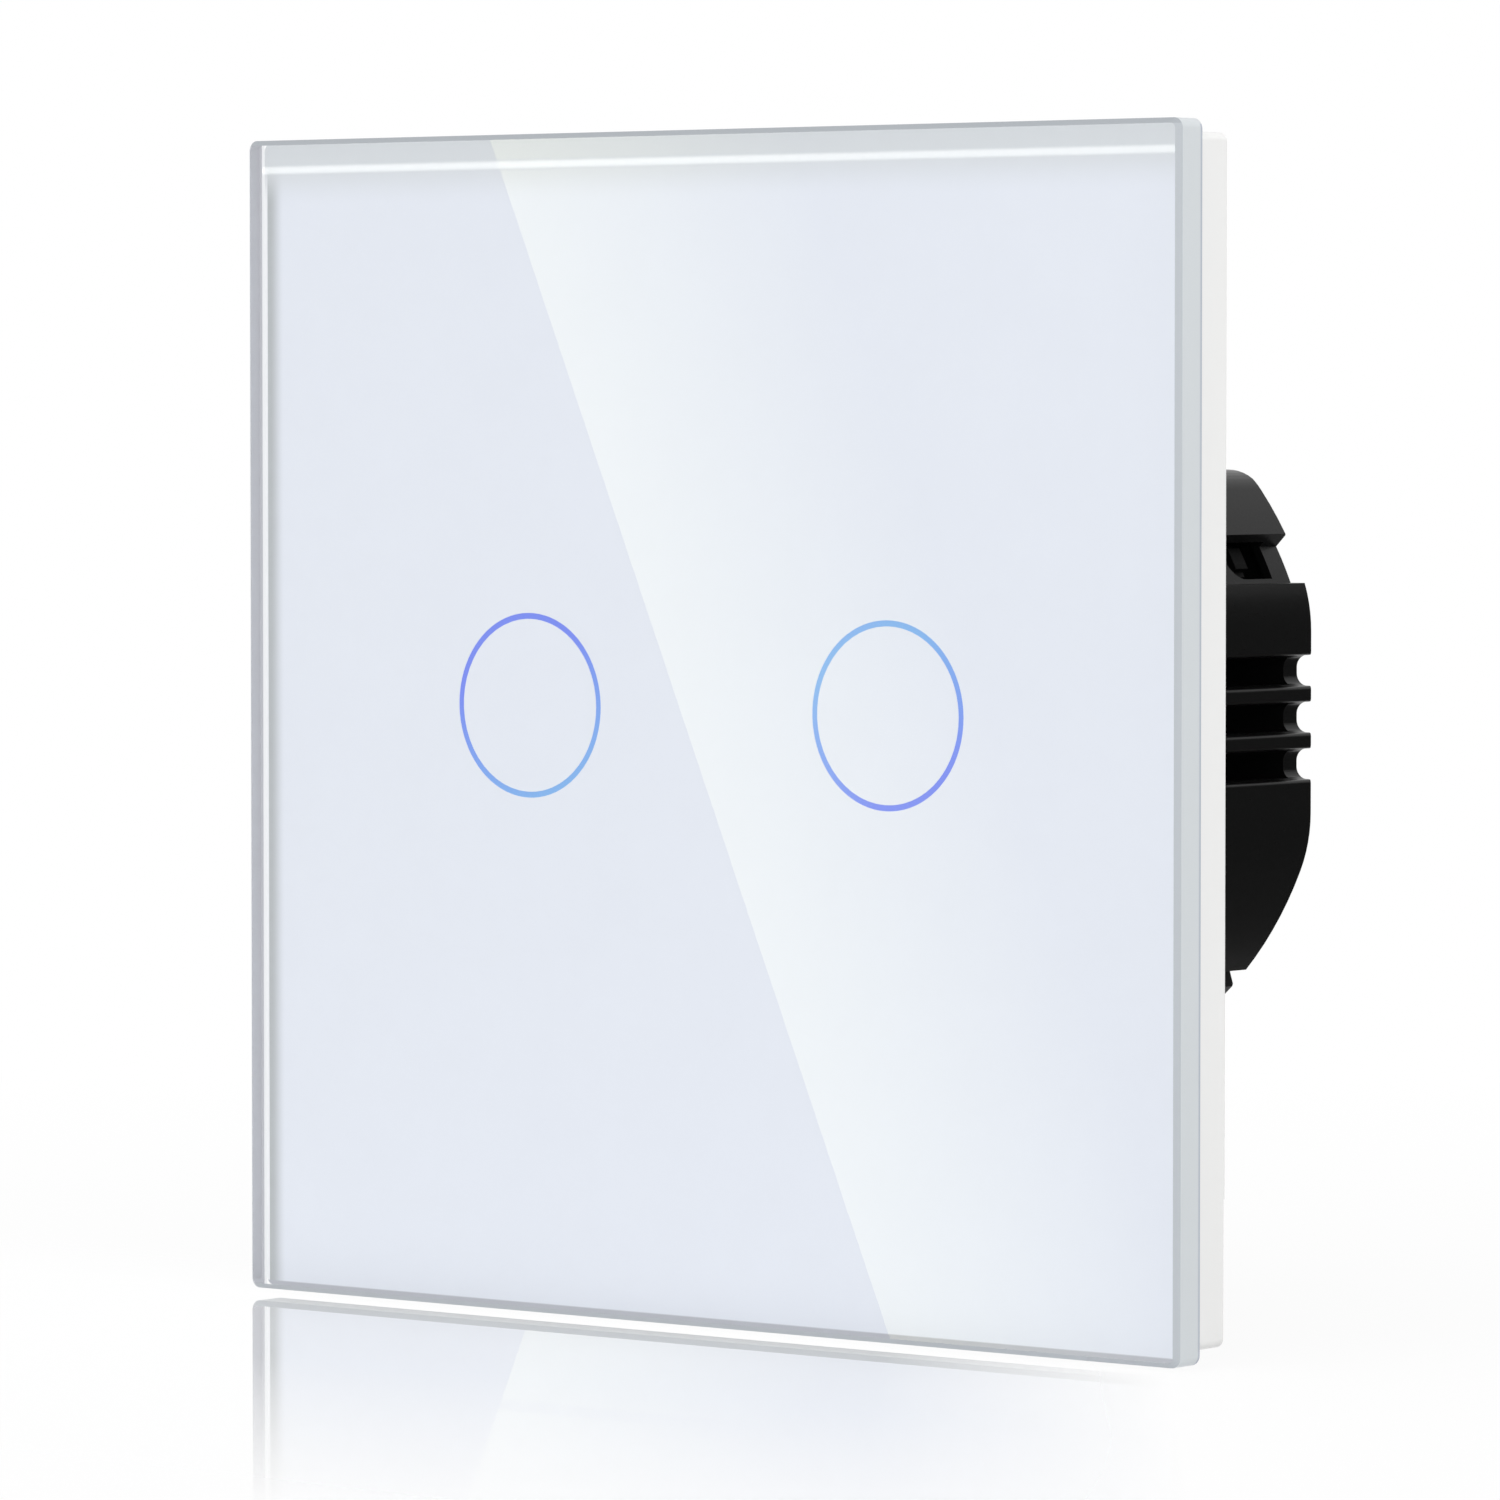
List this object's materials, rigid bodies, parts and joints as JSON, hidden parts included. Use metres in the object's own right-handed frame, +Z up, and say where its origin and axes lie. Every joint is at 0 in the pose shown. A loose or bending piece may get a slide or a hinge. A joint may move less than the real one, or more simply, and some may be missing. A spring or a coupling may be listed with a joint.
{
  "type": "touch light switch",
  "caption": "Wall touch light switch: square glass panel with glowing ring keys, white frame, and a round in-wall module with terminals.",
  "frame": {"origin": "middle of the wall plane, halfway between the two wall box screws", "axes": "+X right as seen from the room, +Y into the wall, +Z up"},
  "size_m": [0.08, 0.0375, 0.08],
  "materials": {
    "clear_glass": "polished tempered glass",
    "white_ink": "white ink fired on the glass",
    "lit_ring": "translucent ink, lit from behind",
    "bonding_film": "double-sided bonding film",
    "white_plastic": "moulded, satin",
    "zinc_steel": "zinc-plated sheet",
    "black_plastic": "moulded, satin",
    "board_laminate": "green solder mask",
    "frosted_plastic": "frosted, light-guiding",
    "conductive_foam": "conductive foam",
    "lamp_resin": "clear resin over a lamp chip",
    "chip_resin": "moulded resin",
    "gilt_brass": "gilt",
    "zinc_screw": "zinc plated",
    "grey_plastic": "moulded, matte",
    "tinned_brass": "tinned brass",
    "capacitor_case": "moulded box, potted",
    "can_sleeve": "sleeved can",
    "ferrite": "ferrite core, sleeved winding",
    "fuse_ceramic": "ceramic tube with end caps",
    "varistor_epoxy": "dipped epoxy",
    "resistor_coat": "lacquer coat",
    "relay_plastic": "moulded, gloss",
    "coil_copper": "enamelled copper winding",
    "soft_iron": "plated soft iron"
  },
  "bodies": {
    "chassis": {"mounting_plate": "zinc_steel", "front_cover": "black_plastic", "rear_housing": "black_plastic", "touch_board": "board_laminate", "power_board": "board_laminate", "left_light_guide": "frosted_plastic", "right_light_guide": "frosted_plastic", "left_touch_pad": "conductive_foam", "right_touch_pad": "conductive_foam", "indicator_leds": "lamp_resin", "touch_chip": "chip_resin", "board_resistors": "chip_resin", "driver_chips": "chip_resin", "pin_strip": "chip_resin", "header_socket": "chip_resin", "header_pins": "gilt_brass", "cover_screws": "zinc_screw", "terminal_block": "grey_plastic", "terminal_busbars": "tinned_brass", "film_capacitor": "capacitor_case", "smoothing_capacitors": "can_sleeve", "supply_choke": "ferrite", "supply_fuse": "fuse_ceramic", "surge_varistor": "varistor_epoxy", "dropper_resistor": "resistor_coat", "left_relay_case": "relay_plastic", "left_relay_base": "relay_plastic", "left_relay_coil": "coil_copper", "left_relay_iron": "soft_iron", "left_fixed_contact": "tinned_brass", "right_relay_case": "relay_plastic", "right_relay_base": "relay_plastic", "right_relay_coil": "coil_copper", "right_relay_iron": "soft_iron", "right_fixed_contact": "tinned_brass"},
    "front_panel": {"glass_panel": "clear_glass", "white_print": "white_ink", "left_ring_window": "lit_ring", "right_ring_window": "lit_ring", "bonding_tape": "bonding_film", "panel_frame": "white_plastic"},
    "left_load_clamp": {"left_load_clamp": "tinned_brass"},
    "left_load_screw": {"left_load_screw": "zinc_screw"},
    "live_clamp": {"live_clamp": "tinned_brass"},
    "live_screw": {"live_screw": "zinc_screw"},
    "right_load_clamp": {"right_load_clamp": "tinned_brass"},
    "right_load_screw": {"right_load_screw": "zinc_screw"},
    "left_armature": {"left_relay_armature": "soft_iron", "left_contact_blade": "tinned_brass"},
    "right_armature": {"right_relay_armature": "soft_iron", "right_contact_blade": "tinned_brass"}
  },
  "joints": [
    {"name": "front_panel_pull_off", "type": "slide", "parent": "chassis", "child": "front_panel", "axis": [0, -1, 0], "range_m": [0, 0.025]},
    {"name": "left_load_screw_turn", "type": "hinge", "parent": "chassis", "child": "left_load_screw", "pos_m": [-0.0076, 0.028, -0.0146], "axis": [0, -1, 0], "range_deg": [0, 1584]},
    {"name": "left_load_clamp_rise", "type": "slide", "parent": "chassis", "child": "left_load_clamp", "axis": [0, 1, 0], "range_m": [0, 0.0022]},
    {"name": "live_screw_turn", "type": "hinge", "parent": "chassis", "child": "live_screw", "pos_m": [0, 0.028, -0.0146], "axis": [0, -1, 0], "range_deg": [0, 1584]},
    {"name": "live_clamp_rise", "type": "slide", "parent": "chassis", "child": "live_clamp", "axis": [0, 1, 0], "range_m": [0, 0.0022]},
    {"name": "right_load_screw_turn", "type": "hinge", "parent": "chassis", "child": "right_load_screw", "pos_m": [0.0076, 0.028, -0.0146], "axis": [0, -1, 0], "range_deg": [0, 1584]},
    {"name": "right_load_clamp_rise", "type": "slide", "parent": "chassis", "child": "right_load_clamp", "axis": [0, 1, 0], "range_m": [0, 0.0022]},
    {"name": "left_armature_pull", "type": "hinge", "parent": "chassis", "child": "left_armature", "pos_m": [-0.0118, 0.02295, -0.0062], "axis": [1, 0, 0], "range_deg": [0, 5.5], "stiffness_Nm_per_rad": 0.01, "springref_deg": -2.86},
    {"name": "right_armature_pull", "type": "hinge", "parent": "chassis", "child": "right_armature", "pos_m": [0.0118, 0.02295, -0.0062], "axis": [1, 0, 0], "range_deg": [0, 5.5], "stiffness_Nm_per_rad": 0.01, "springref_deg": -2.86}
  ],
  "couplings": [
    {"joint": "left_load_screw_turn", "follows": "left_load_clamp_rise", "rad_per_m": 12566},
    {"joint": "live_screw_turn", "follows": "live_clamp_rise", "rad_per_m": 12566},
    {"joint": "right_load_screw_turn", "follows": "right_load_clamp_rise", "rad_per_m": 12566}
  ]
}
